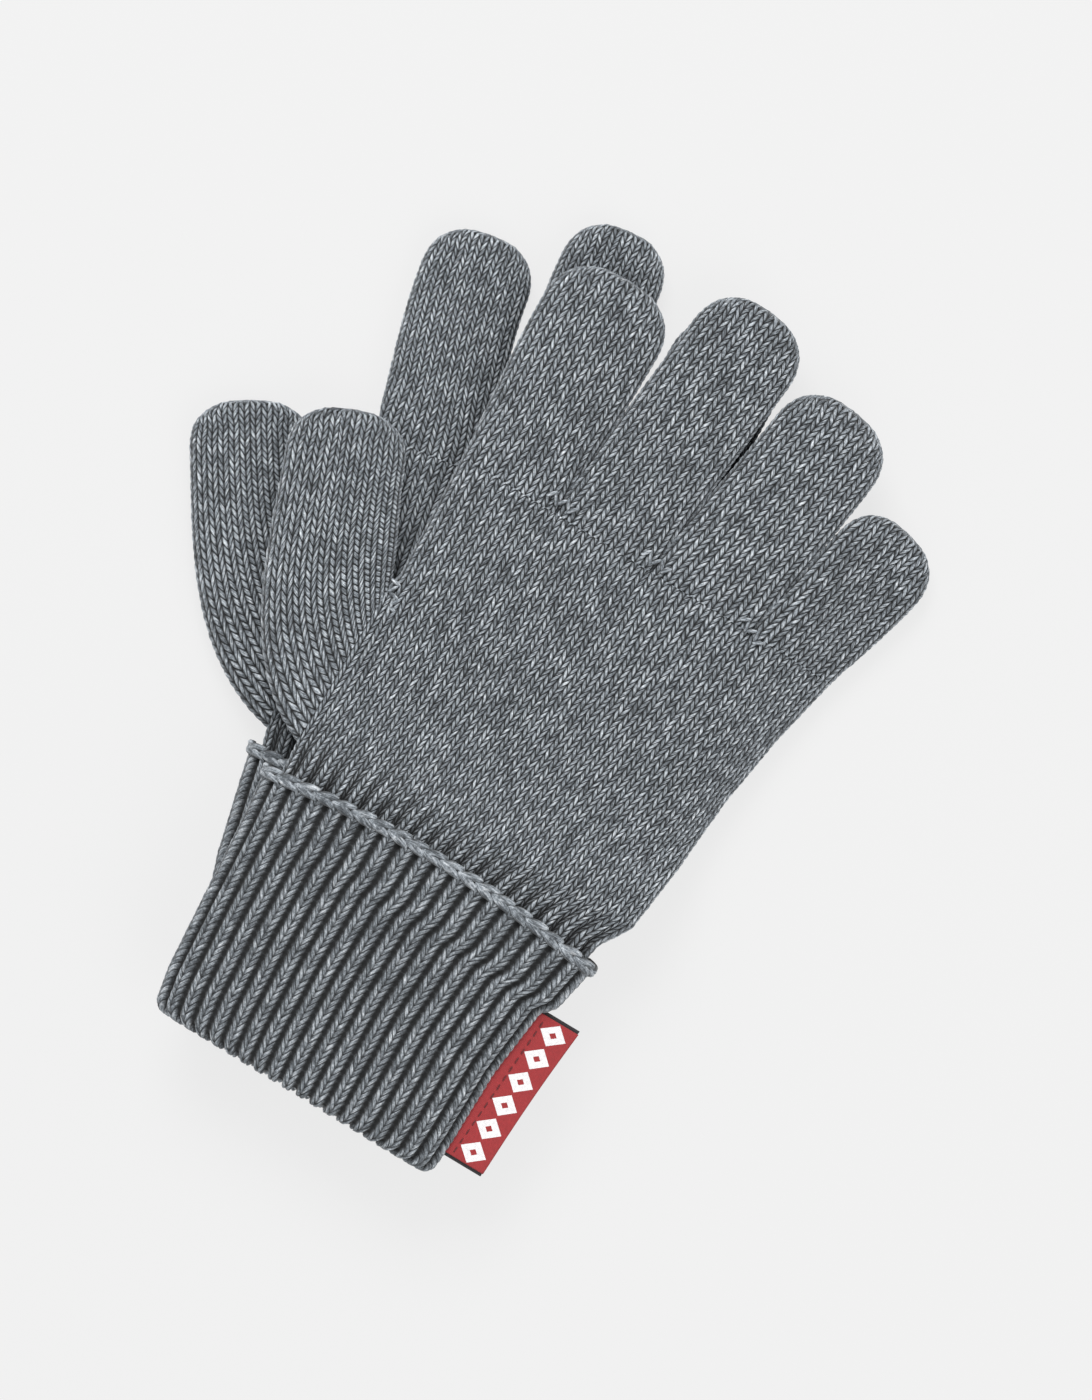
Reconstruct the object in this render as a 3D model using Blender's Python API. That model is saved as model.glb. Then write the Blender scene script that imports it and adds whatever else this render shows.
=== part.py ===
"""A pair of knitted gloves laid flat, one on top of the other.

Each glove is a ribbed cuff turned up on itself, a hand tube, four finger tubes, a thumb tube and a chained
cast-off edge on the cuff. The upper one also has a darning stitch at each crotch, and a woven label sewn
to its cuff.

Plan coordinates belong to a glove: X runs from thumb to little finger and Y from the cuff's fold to the
fingertips. The upper glove's plan is the frame's own, and the lower glove is turned and moved under it.
Both lie on Z = 0, and the upper one drapes over the lower one.
"""

import math

import bmesh
import bpy
import numpy as np

# Thicknesses, in metres.
KNIT = 0.0017
RIB = 0.0020
LAYER_GAP = 0.0005
PIECE_GAP = 0.0004
HAND_HALF = 0.0045
CUFF_HALF = 0.00725
CUFF_INNER_HALF = CUFF_HALF - RIB - LAYER_GAP

# The cuff's length along Y, as worn: turned up, with its inner layer reaching past the cast-off edge.
TURN_UP = 0.066
INNER_TOP = 0.072
HAND_START = INNER_TOP + PIECE_GAP
KNUCKLES = 0.160
CUFF_STATIONS = (0.014, 0.030, 0.050, 0.054)
CHAIN_RADIUS = 0.0012

# (Y, left edge, right edge) of each flattened tube.
CUFF_OUTLINE = (
    (0.000, -0.0420, 0.0410),
    (0.010, -0.0440, 0.0415),
    (0.030, -0.0460, 0.0415),
    (0.050, -0.0485, 0.0436),
    (0.054, -0.0489, 0.0466),
    (0.072, -0.0510, 0.0500),
)
LOWER_CUFF_OUTLINE = (
    (0.000, -0.0420, 0.0410),
    (0.010, -0.0430, 0.0415),
    (0.030, -0.0440, 0.0415),
    (0.050, -0.0452, 0.0436),
    (0.072, -0.0466, 0.0470),
)
INNER_OUTLINE = (
    (0.000, -0.0392, 0.0382),
    (0.010, -0.0402, 0.0388),
    (0.030, -0.0412, 0.0388),
    (0.050, -0.0424, 0.0408),
    (0.072, -0.0436, 0.0440),
)
HAND_OUTLINE = (
    (0.072, -0.0445, 0.0465),
    (0.080, -0.0436, 0.0515),
    (0.100, -0.0440, 0.0540),
    (0.120, -0.0450, 0.0555),
    (0.140, -0.0462, 0.0585),
    (0.160, -0.0476, 0.0628),
)

# Each digit runs from its base edge to a round tip: the ends of its base, how its two sides set off and
# arrive (degrees from +Y towards +X), the centre and width where the tip begins, and the tip's length.
DIGITS = {
    "thumb": {
        "base": ((-0.0457, 0.0762), (-0.0466, 0.1210)),
        "sets_off": (-68.0, -18.0),
        "arrives": -22.0,
        "shoulder": (-0.0735, 0.1440),
        "width": 0.0300,
        "tip": 0.0128,
    },
    "index": {
        "base": ((-0.0474, KNUCKLES), (-0.0203, KNUCKLES)),
        "sets_off": (-4.0, 2.0),
        "arrives": -1.0,
        "shoulder": (-0.0354, 0.2070),
        "width": 0.0324,
        "tip": 0.0138,
    },
    "middle": {
        "base": ((-0.0199, KNUCKLES), (0.0081, KNUCKLES)),
        "sets_off": (2.0, 5.0),
        "arrives": 5.0,
        "shoulder": (-0.0010, 0.2192),
        "width": 0.0290,
        "tip": 0.0138,
    },
    "ring": {
        "base": ((0.0087, KNUCKLES), (0.0382, KNUCKLES)),
        "sets_off": (5.0, 9.0),
        "arrives": 7.0,
        "shoulder": (0.0303, 0.2090),
        "width": 0.0298,
        "tip": 0.0136,
    },
    "little": {
        "base": ((0.0388, KNUCKLES), (0.0626, KNUCKLES)),
        "sets_off": (11.0, 15.0),
        "arrives": 11.0,
        "shoulder": (0.0577, 0.1910),
        "width": 0.0265,
        "tip": 0.0126,
    },
}
# The lower glove's digits lie a little differently from the upper one's.
LOWER_DIGITS = {name: dict(digit) for name, digit in DIGITS.items()}
LOWER_DIGITS["thumb"].update(shoulder=(-0.0762, 0.1444), width=0.0310)
LOWER_DIGITS["index"].update(shoulder=(-0.0384, 0.2076), width=0.0282, sets_off=(-6.0, 0.0))
LOWER_DIGITS["middle"].update(shoulder=(-0.0064, 0.2222), width=0.0266, arrives=3.0)
DIGIT_STATIONS = 6
TIP_STATIONS = 4
TIP_BLUNTNESS = 2.3
HANDLE = 0.36
DIGIT_POINTS = 16
TUBE_POINTS = 24
SQUARENESS = 2.9

# The lower glove's place under the upper one.
LOWER_TURN = math.radians(10.0)
LOWER_SHIFT = (0.003, 0.011)
LOWER_REACH = 0.957

# How the upper glove drapes: the gap under it, and where it starts to come down and over what length.
STACK_GAP = 0.0010
ON_CUFF = 2 * CUFF_HALF + STACK_GAP
CUFF_FALL = (0.069, 0.034)
HAND_FALL = (0.0015, 0.024)
CUFF_TO_HAND = (0.070, 0.025)

LABEL = {"low": 0.0065, "high": 0.0495, "reach": 0.0110, "face": 0.0005, "backing": 0.0004}
LABEL_GAP = 0.0012
THREAD_RADIUS = 0.0002
FOLD_GAP = 0.0006
DARN = {"length": 0.0056, "radius": 0.0006, "rise": 0.0008}

YARN = (0.165, 0.180, 0.195)
RIB_YARN = (0.115, 0.125, 0.135)
RED = (0.42, 0.030, 0.034)
DARK = (0.020, 0.016, 0.018)


def material(name, colour, roughness):
    """A Principled material of one colour."""
    made = bpy.data.materials.new(name)
    made.use_nodes = True
    shader = made.node_tree.nodes["Principled BSDF"]
    shader.inputs["Base Color"].default_value = (*colour, 1.0)
    shader.inputs["Roughness"].default_value = roughness
    shader.inputs["Metallic"].default_value = 0.0
    return made


def ease(t):
    """0 before t = 0, 1 after t = 1, and smooth between them."""
    t = np.clip(t, 0.0, 1.0)
    return t * t * (3.0 - 2.0 * t)


def edges_at(outline, y):
    """The left and right edge of an outline at y."""
    rows = np.array(outline)
    return np.interp(y, rows[:, 0], rows[:, 1]), np.interp(y, rows[:, 0], rows[:, 2])


def to_lower(x, y):
    """Plan coordinates of the upper glove turned into those of the lower one."""
    dx = x - LOWER_SHIFT[0]
    dy = y - LOWER_SHIFT[1]
    turn_cos, turn_sin = math.cos(LOWER_TURN), math.sin(LOWER_TURN)
    return turn_cos * dx + turn_sin * dy, (turn_cos * dy - turn_sin * dx) / LOWER_REACH


def from_lower(x, y):
    """Plan coordinates of the lower glove turned into those of the upper one."""
    turn_cos, turn_sin = math.cos(LOWER_TURN), math.sin(LOWER_TURN)
    y = y * LOWER_REACH
    return turn_cos * x - turn_sin * y + LOWER_SHIFT[0], turn_sin * x + turn_cos * y + LOWER_SHIFT[1]


def from_upper(x, y):
    """The upper glove's plan is the frame's own."""
    return x, y


def clearance_from_hand(x, y):
    """How far a plan point lies outside the lower glove's hand and digits, in its own plan."""
    left, right = edges_at(HAND_OUTLINE, y)
    beside = np.maximum(np.maximum(left - x, x - right), y - KNUCKLES)
    for digit in LOWER_DIGITS.values():
        start = np.mean(digit["base"], axis=0)
        end = np.array(digit["shoulder"])
        along = end - start
        t = np.clip(((x - start[0]) * along[0] + (y - start[1]) * along[1]) / (along @ along), 0.0, 1.0)
        away = np.hypot(x - start[0] - t * along[0], y - start[1] - t * along[1])
        beside = np.minimum(beside, away - digit["width"] / 2)
    return beside


def middle_height(y):
    """Height of a glove's middle over what it lies on: the cuff is thicker than the hand."""
    start, length = CUFF_TO_HAND
    return CUFF_HALF + (HAND_HALF - CUFF_HALF) * ease((y - start) / length)


def hand_half(y):
    """Half the hand's thickness: a little more where it leaves the cuff."""
    start, length = CUFF_TO_HAND
    return CUFF_INNER_HALF + (HAND_HALF - CUFF_INNER_HALF) * ease((y - start) / length)


def support(x, y):
    """Height of what the upper glove rests on, from the lower glove under it down to the table."""
    x_low, y_low = to_lower(x, y)
    cuff = ON_CUFF * (1.0 - ease((y_low - CUFF_FALL[0]) / CUFF_FALL[1]))
    hand = middle_height(y_low) + hand_half(y_low) + STACK_GAP
    hand = hand * (1.0 - ease((clearance_from_hand(x_low, y_low) - HAND_FALL[0]) / HAND_FALL[1]))
    return np.maximum(cuff, hand)


def upper_height(x, y):
    return support(x, y) + middle_height(y)


def lower_height(x, y):
    """y is in the lower glove's plan here, and its x doesn't matter."""
    return middle_height(y) + 0.0 * x


GLOVES = {
    "upper": {
        "place": from_upper,
        "height": upper_height,
        "curl": 1.0,
        "digits": DIGITS,
        "cuff": CUFF_OUTLINE,
    },
    "lower": {
        "place": from_lower,
        "height": lower_height,
        "curl": -1.0,
        "digits": LOWER_DIGITS,
        "cuff": LOWER_CUFF_OUTLINE,
    },
}


def laid(glove, plan, rise):
    """Points in the frame of plan points (n, 2) that stand rise over or under the glove's middle."""
    x, y = plan[:, 0], plan[:, 1]
    height = glove["height"](x, y)
    x_there, y_there = glove["place"](x, y)
    return np.column_stack((x_there, y_there, height + rise))


def section(left, right, half, count):
    """A ring of plan points and rises round a flattened tube, between two plan points."""
    left, right = np.array(left), np.array(right)
    angle = (np.arange(count) + 0.5) * 2 * math.pi / count
    across = np.sign(np.cos(angle)) * np.abs(np.cos(angle)) ** (2 / SQUARENESS)
    rise = np.sign(np.sin(angle)) * np.abs(np.sin(angle)) ** (2 / SQUARENESS) * half
    plan = (left + right) / 2 + np.outer(across, (right - left) / 2)
    return plan, rise


def pulled_in(left, right, inset):
    """The two plan points moved towards each other by inset."""
    left, right = np.array(left), np.array(right)
    step = (right - left) / np.linalg.norm(right - left) * inset
    return left + step, right - step


def level_section(outline, y, half, inset, count):
    """A ring across a glove at y, inset from an outline."""
    left, right = edges_at(outline, y)
    return section((left + inset, y), (right - inset, y), half - inset, count)


def new_object(name, points, faces, made_of, origin=None):
    """An object of these points and faces, with its origin where its joint is."""
    origin = np.zeros(3) if origin is None else np.array(origin)
    mesh = bpy.data.meshes.new(name)
    mesh.from_pydata((np.array(points) - origin).tolist(), [], faces)
    shape = bmesh.new()
    shape.from_mesh(mesh)
    bmesh.ops.recalc_face_normals(shape, faces=shape.faces[:])
    shape.to_mesh(mesh)
    shape.free()
    mesh.shade_smooth()
    mesh.set_sharp_from_angle(angle=math.radians(50))
    mesh.materials.append(made_of)
    made = bpy.data.objects.new(name, mesh)
    made.location = origin
    bpy.context.scene.collection.objects.link(made)
    return made


def bridged(rings, closed):
    """Points and faces of rings joined in order, and the last one to the first if closed."""
    count = len(rings[0])
    faces = []
    for i in range(len(rings) if closed else len(rings) - 1):
        here, there = i * count, (i + 1) % len(rings) * count
        for k in range(count):
            after = (k + 1) % count
            faces.append((here + k, here + after, there + after, there + k))
    return np.concatenate(rings), faces


def cuff(glove, name, made_of):
    """The ribbed tube: its outer layer, the fold at Y = 0 and its inner layer, in one loop of rings."""
    fold = RIB + LAYER_GAP / 2
    outer = (glove["cuff"], CUFF_HALF)
    inner = (INNER_OUTLINE, CUFF_INNER_HALF)
    loop = [(*outer, y, 0.0) for y in (TURN_UP, *CUFF_STATIONS[::-1], fold)]
    loop += [(*outer, 0.0, RIB * 0.7), (*inner, 0.0, RIB * 0.3)]
    loop += [(*inner, y, RIB) for y in (fold, *CUFF_STATIONS, INNER_TOP)]
    loop += [(*inner, y, 0.0) for y in (INNER_TOP, *CUFF_STATIONS[::-1], fold + LAYER_GAP)]
    loop += [(*outer, y, RIB) for y in (fold + LAYER_GAP, *CUFF_STATIONS, TURN_UP)]
    rings = []
    for outline, half, y, inset in loop:
        rings.append(laid(glove, *level_section(outline, y, half, inset, TUBE_POINTS)))
    return new_object(name, *bridged(rings, closed=True), made_of)


def hand(glove, name, made_of):
    """The hand tube, open at the wrist and at the knuckles."""
    stations = [HAND_START] + [row[0] for row in HAND_OUTLINE[1:-1]] + [KNUCKLES - PIECE_GAP]
    rings = []
    for inset, order in ((0.0, stations), (KNIT, stations[::-1])):
        for y in order:
            ring = level_section(HAND_OUTLINE, y, hand_half(y), inset, TUBE_POINTS)
            rings.append(laid(glove, *ring))
    return new_object(name, *bridged(rings, closed=True), made_of)


def heading(degrees):
    """The plan direction that many degrees from +Y towards +X."""
    return np.array((math.sin(math.radians(degrees)), math.cos(math.radians(degrees))))


def side_curve(start, set_off, end, arrive, t):
    """A cubic curve from start to end with those headings, at t."""
    start, end = np.array(start), np.array(end)
    handle = HANDLE * np.linalg.norm(end - start)
    first = start + handle * heading(set_off)
    second = end - handle * heading(arrive)
    return ((1 - t) ** 3 * start + 3 * (1 - t) ** 2 * t * first + 3 * (1 - t) * t**2 * second + t**3 * end)


def digit_rings(glove, digit, inset):
    """Rings of a digit from its base to its tip, inset from its outside."""
    onward = heading(digit["arrives"])
    side = np.array((onward[1], -onward[0]))
    centre = np.array(digit["shoulder"])
    ends = (centre - side * digit["width"] / 2, centre + side * digit["width"] / 2)
    half = HAND_HALF - inset
    rings = []
    for t in np.linspace(0.0, 1.0, DIGIT_STATIONS):
        left = side_curve(digit["base"][0], digit["sets_off"][0], ends[0], digit["arrives"], t)
        right = side_curve(digit["base"][1], digit["sets_off"][1], ends[1], digit["arrives"], t)
        rings.append(laid(glove, *section(*pulled_in(left, right, inset), half, DIGIT_POINTS)))
    tip = digit["tip"] - inset
    reach = digit["width"] / 2 - inset
    for t in np.sin(np.linspace(0.0, math.pi / 2, TIP_STATIONS + 2)[1:-1]):
        narrow = (1.0 - t**TIP_BLUNTNESS) ** (1 / TIP_BLUNTNESS)
        here = centre + onward * tip * t
        thin = half * narrow**0.8
        ends = (here - side * reach * narrow, here + side * reach * narrow)
        rings.append(laid(glove, *section(*ends, thin, DIGIT_POINTS)))
    return rings


def hinge_line(glove, digit):
    """A point and a direction: the fold along a digit's base, on the side that it curls towards."""
    rise = np.full(2, glove["curl"] * (HAND_HALF + FOLD_GAP))
    first, last = laid(glove, np.array(digit["base"]), rise)
    return (first + last) / 2, glove["curl"] * (last - first) / np.linalg.norm(last - first)


def finger(glove, name, digit, made_of):
    """A knitted tube, open at its base and closed round its tip."""
    outside = digit_rings(glove, digit, 0.0)
    inside = digit_rings(glove, digit, KNIT)
    rings = outside[::-1] + inside
    points, faces = bridged(rings, closed=False)
    last = (len(rings) - 1) * DIGIT_POINTS
    faces.append(tuple(range(DIGIT_POINTS)))
    faces.append(tuple(range(last, last + DIGIT_POINTS)))
    return new_object(name, points, faces, made_of, hinge_line(glove, digit)[0])


def chain(glove, name, made_of):
    """The cast-off edge: a round cord along the top of the turned-up layer."""
    sides = 6
    y = TURN_UP + PIECE_GAP + CHAIN_RADIUS
    half = CUFF_INNER_HALF + PIECE_GAP + CHAIN_RADIUS
    rings = []
    for k in range(sides):
        angle = 2 * math.pi * k / sides
        out = CHAIN_RADIUS * math.cos(angle)
        along = CHAIN_RADIUS * math.sin(angle)
        left, right = edges_at(glove["cuff"], y)
        plan, rise = section(
            (left + RIB / 2 - out, y + along),
            (right - RIB / 2 + out, y + along),
            half + out,
            TUBE_POINTS,
        )
        rings.append(laid(glove, plan, rise))
    return new_object(name, *bridged(rings, closed=True), made_of)


def tube_along(path, radius, sides):
    """Points and faces of a closed round tube along points in the frame."""
    path = np.array(path)
    tangents = np.gradient(path, axis=0)
    tangents /= np.linalg.norm(tangents, axis=1)[:, None]
    up = np.array((0.0, 0.0, 1.0))
    rings = []
    for point, tangent in zip(path, tangents):
        side = np.cross(tangent, up)
        side /= np.linalg.norm(side)
        over = np.cross(side, tangent)
        angles = np.arange(sides) * 2 * math.pi / sides
        rings.append(point + radius * (np.outer(np.cos(angles), side) + np.outer(np.sin(angles), over)))
    points, faces = bridged(rings, closed=False)
    last = (len(rings) - 1) * sides
    faces.append(tuple(range(sides)))
    faces.append(tuple(range(last, last + sides)))
    return points, faces


def darn(glove, name, crotch, made_of):
    """A short bowed stitch of yarn on the hand, just below a crotch."""
    t = np.linspace(0.0, 1.0, 5)
    away = DARN["radius"] + PIECE_GAP
    plan = np.column_stack((np.full(5, crotch[0]), crotch[1] - 0.001 - DARN["length"] * t))
    rise = HAND_HALF + away + DARN["rise"] * np.sin(math.pi * t)
    points, faces = tube_along(laid(glove, plan, rise), DARN["radius"], 6)
    return new_object(name, points, faces, made_of)


def slab(corners, low, high):
    """Points and faces of a flat slab over four plan corners, between two heights."""
    points = [(x, y, low) for x, y in corners] + [(x, y, high) for x, y in corners]
    faces = [(3, 2, 1, 0), (4, 5, 6, 7)]
    for k in range(4):
        after = (k + 1) % 4
        faces.append((k, after, 4 + after, 4 + k))
    return points, faces


def label_corners(start, reach):
    """Plan corners of a strip along the upper cuff's right edge, from start to reach beyond it."""
    edge_low = edges_at(CUFF_OUTLINE, LABEL["low"])[1]
    edge_high = edges_at(CUFF_OUTLINE, LABEL["high"])[1]
    return (
        (edge_low + start, LABEL["low"]),
        (edge_low + reach, LABEL["low"]),
        (edge_high + reach, LABEL["high"]),
        (edge_high + start, LABEL["high"]),
    )


def label(face_material, backing_material, thread_material):
    """The woven label: a red face, a dark backing and the seam that holds it, on the cuff's right edge."""
    level = ON_CUFF + CUFF_HALF
    corners = label_corners(LABEL_GAP, LABEL["reach"])
    low, high = np.array(corners[0]), np.array(corners[3])
    origin = np.array((*(low + high) / 2, level))
    axis = np.array((*(low - high) / np.linalg.norm(low - high), 0.0))
    face_low = level + PIECE_GAP / 2
    face_top = face_low + LABEL["face"]
    back_top = level - PIECE_GAP / 2
    new_object("label_face", *slab(corners, face_low, face_top), face_material, origin)
    backing = slab(corners, back_top - LABEL["backing"], back_top)
    new_object("label_backing", *backing, backing_material, origin)
    along = np.linspace(0.05, 0.95, 12)[:, None]
    plan = low + (high - low) * along + np.array((0.0014, 0.0))
    path = np.column_stack((plan, np.full(len(plan), face_top + THREAD_RADIUS + PIECE_GAP / 2)))
    new_object("label_seam", *tube_along(path, THREAD_RADIUS, 6), thread_material, origin)
    return origin, axis


def centred(objects):
    """Moves everything by one empty, so that the middle of the box's underside is the frame's origin."""
    bpy.context.view_layer.update()
    corners = []
    for made in objects:
        corners += [made.matrix_world @ vertex.co for vertex in made.data.vertices]
    corners = np.array(corners)
    low, high = corners.min(axis=0), corners.max(axis=0)
    frame = bpy.data.objects.new("frame", None)
    bpy.context.scene.collection.objects.link(frame)
    for made in objects:
        made.parent = frame
    frame.location = (-(low[0] + high[0]) / 2, -(low[1] + high[1]) / 2, -low[2])
    bpy.context.view_layer.update()
    return np.array(frame.location)


def main():
    for leftover in list(bpy.data.objects):
        bpy.data.objects.remove(leftover, do_unlink=True)
    knit = material("knit", YARN, 0.9)
    rib = material("rib", RIB_YARN, 0.9)
    red = material("label_red", RED, 0.7)
    dark = material("label_dark", DARK, 0.8)
    crotches = {
        "thumb": DIGITS["thumb"]["base"][1] + np.array((0.0016, 0.0)),
        "index": (DIGITS["index"]["base"][1][0], KNUCKLES),
        "middle": (DIGITS["middle"]["base"][1][0], KNUCKLES),
        "ring": (DIGITS["ring"]["base"][1][0], KNUCKLES),
    }
    hinges = {}
    for side, glove in GLOVES.items():
        cuff(glove, f"{side}_ribbed_cuff", rib)
        chain(glove, f"{side}_cast_off_chain", rib)
        hand(glove, f"{side}_hand", knit)
        for digit_name, digit in glove["digits"].items():
            finger(glove, f"{side}_{digit_name}", digit, knit)
            hinges[f"{side}_{digit_name}"] = hinge_line(glove, digit)
    for crotch_name, crotch in crotches.items():
        darn(GLOVES["upper"], f"upper_{crotch_name}_crotch_darn", crotch, knit)
    hinges["label"] = label(red, dark, dark)
    moved = centred([made for made in bpy.data.objects if made.type == "MESH"])
    print("frame moved by", np.round(moved, 5))
    for name, (point, axis) in hinges.items():
        print(name, "hinge at", np.round(point + moved, 5), "along", np.round(axis, 5))


main()
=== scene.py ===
import math

import bmesh
import bpy
import numpy as np
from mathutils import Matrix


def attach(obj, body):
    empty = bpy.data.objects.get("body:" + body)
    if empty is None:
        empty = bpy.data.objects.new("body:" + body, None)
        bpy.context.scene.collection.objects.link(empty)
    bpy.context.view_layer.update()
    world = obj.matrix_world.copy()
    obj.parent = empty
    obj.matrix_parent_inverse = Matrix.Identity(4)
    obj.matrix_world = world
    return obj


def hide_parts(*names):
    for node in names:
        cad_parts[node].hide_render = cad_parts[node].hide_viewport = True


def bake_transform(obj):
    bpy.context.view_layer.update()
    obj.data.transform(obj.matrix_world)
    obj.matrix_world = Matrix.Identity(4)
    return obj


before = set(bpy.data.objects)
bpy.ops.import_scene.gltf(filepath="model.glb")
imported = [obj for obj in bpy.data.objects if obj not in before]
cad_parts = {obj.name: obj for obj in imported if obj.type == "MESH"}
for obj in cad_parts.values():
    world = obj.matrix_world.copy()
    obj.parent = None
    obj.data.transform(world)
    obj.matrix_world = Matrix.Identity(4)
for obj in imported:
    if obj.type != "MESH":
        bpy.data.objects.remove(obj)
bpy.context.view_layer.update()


# metres: x runs from thumb to little finger and y from the cuff's fold to the fingertips, and planOrigin is
# where the upper glove's x = 0, y = 0 lies in the row frame
glovePlan = {
    "planOrigin": (0.02013, -0.11638, 0.00026),
    "lowerTurn": math.radians(10.0),
    "lowerShift": (0.003, 0.011),
    "lowerReach": 0.957,
    "cuffHalf": 0.00725,
    "handHalf": 0.0045,
    "layers": 0.0045,  # the two cuff layers together
    "knuckles": 0.160,
    "turnUp": 0.066,
    "stackGap": 0.0010,
    "insideCuff": 0.0025,  # how much thinner than half the cuff half the hand is where it comes out
    # each of these: where a slope starts, and its length
    "cuffToHand": (0.070, 0.025),
    "cuffFall": (0.069, 0.034),
    "handFall": (0.0015, 0.024),
    "yarnRoom": 0.0004,  # how far the fabric's base lies inside the glove's surface, which the yarn fills
    "bend": 0.014,  # length of digit that bends when it curls
    "square": 2.3,  # how square tube sections and fingertips are: 2 is an ellipse
}

# rows of y, left side and right side
cuffSides = {
    "upper": np.array([
        (0.000, -0.0420, 0.0410),
        (0.010, -0.0440, 0.0415),
        (0.030, -0.0458, 0.0415),
        (0.050, -0.0474, 0.0436),
        (0.054, -0.0478, 0.0466),
        (0.072, -0.0498, 0.0500),
    ]),
    "lower": np.array([
        (0.000, -0.0420, 0.0410),
        (0.010, -0.0430, 0.0415),
        (0.026, -0.0438, 0.0415),
        (0.039, -0.0461, 0.0425),
        (0.055, -0.0474, 0.0442),
        (0.072, -0.0486, 0.0470),
    ]),
}
handSides = np.array([
    (0.058, -0.0440, 0.0440),
    (0.072, -0.0450, 0.0465),
    (0.0762, -0.0457, 0.0492),
    (0.080, -0.0458, 0.0515),
    (0.100, -0.0462, 0.0540),
    (0.121, -0.0466, 0.0556),
    (0.126, -0.0455, 0.0564),
    (0.140, -0.0462, 0.0585),
    (0.160, -0.0476, 0.0628),
])
hiddenEnd = (0.0436, 0.040)  # the hand's end inside the cuff: half its width, and y
thumbSeam = ((-0.0457, 0.0762), (-0.0466, 0.1210))

# base: where the digit leaves the hand. setsOff and arrives: headings in degrees from +y towards +x.
# share: the columns it takes over from the hand's front. face: its own columns on each side.
digitPlan = {
    "thumb": {"base": thumbSeam, "setsOff": (-68.0, -18.0), "arrives": -22.0,
              "shoulder": (-0.0735, 0.1440), "width": 0.0300, "tip": 0.0128, "share": 0, "face": 12},
    "index": {"base": ((-0.0476, 0.160), (-0.0201, 0.160)), "setsOff": (-4.0, 2.0), "arrives": -1.0,
              "shoulder": (-0.0354, 0.2070), "width": 0.0324, "tip": 0.0138, "share": 10, "face": 12},
    "middle": {"base": ((-0.0201, 0.160), (0.0084, 0.160)), "setsOff": (2.0, 5.0), "arrives": 5.0,
               "shoulder": (-0.0010, 0.2192), "width": 0.0290, "tip": 0.0138, "share": 10, "face": 11},
    "ring": {"base": ((0.0084, 0.160), (0.0385, 0.160)), "setsOff": (5.0, 9.0), "arrives": 7.0,
             "shoulder": (0.0303, 0.2090), "width": 0.0298, "tip": 0.0136, "share": 10, "face": 11},
    "little": {"base": ((0.0385, 0.160), (0.0628, 0.160)), "setsOff": (11.0, 15.0), "arrives": 11.0,
               "shoulder": (0.0577, 0.1910), "width": 0.0265, "tip": 0.0126, "share": 9, "face": 10},
}
fingers = ("index", "middle", "ring", "little")
digits = {"upper": digitPlan, "lower": {name: dict(digit) for name, digit in digitPlan.items()}}
digits["lower"]["thumb"].update(shoulder=(-0.0762, 0.1444), width=0.0310)
digits["lower"]["index"].update(shoulder=(-0.0384, 0.2076), width=0.0282, setsOff=(-6.0, 0.0))
digits["lower"]["middle"].update(shoulder=(-0.0064, 0.2222), width=0.0266, arrives=3.0)

knit = {
    "course": 0.0020,  # height of one row of stitches
    "loftAndPaintedShade": 0.00070,  # how far a leg of yarn stands out of the fabric
    "lean": 1.22,  # rows that a leg climbs from the middle of its column to the edge
    "faceColumns": 39,  # stitch columns across the hand's front
    "edge": 0.0120,  # how far in from its side a tube is full
    "uneven": 0.10,
    "round": 2.4,  # how square a leg's section is: 2 is an ellipse
    "touching": 0.10,  # how far up neighbouring legs touch
    "ends": 0.26,  # height of a leg's ends, of 1 in its middle
}


def ease(t):
    t = np.clip(t, 0.0, 1.0)
    return t * t * (3.0 - 2.0 * t)


def toLower(x, y):
    dx, dy = x - glovePlan["lowerShift"][0], y - glovePlan["lowerShift"][1]
    c, s = math.cos(glovePlan["lowerTurn"]), math.sin(glovePlan["lowerTurn"])
    return c * dx + s * dy, (c * dy - s * dx) / glovePlan["lowerReach"]


def fromLower(x, y):
    c, s = math.cos(glovePlan["lowerTurn"]), math.sin(glovePlan["lowerTurn"])
    y = y * glovePlan["lowerReach"]
    return c * x - s * y + glovePlan["lowerShift"][0], s * x + c * y + glovePlan["lowerShift"][1]


def sidesAt(sides, y):
    return np.interp(y, sides[:, 0], sides[:, 1]), np.interp(y, sides[:, 0], sides[:, 2])


# how far a plan point lies outside the hand and digits: the least distance past any of their edges
def outsideHand(x, y):
    left, right = sidesAt(handSides, y)
    beside = np.maximum(np.maximum(left - x, x - right), y - glovePlan["knuckles"])
    for digit in digits["lower"].values():
        start, end = np.mean(digit["base"], axis=0), np.array(digit["shoulder"])
        run = end - start
        t = np.clip(((x - start[0]) * run[0] + (y - start[1]) * run[1]) / (run @ run), 0.0, 1.0)
        away = np.hypot(x - start[0] - t * run[0], y - start[1] - t * run[1])
        beside = np.minimum(beside, away - digit["width"] / 2)
    return beside


def middleHeight(y):
    start, length = glovePlan["cuffToHand"]
    drop = glovePlan["cuffHalf"] - glovePlan["handHalf"]
    return glovePlan["cuffHalf"] - drop * ease((y - start) / length)


def handHalf(y):
    start, length = glovePlan["cuffToHand"]
    inner = glovePlan["cuffHalf"] - glovePlan["insideCuff"]
    return inner + (glovePlan["handHalf"] - inner) * ease((y - start) / length)


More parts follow.
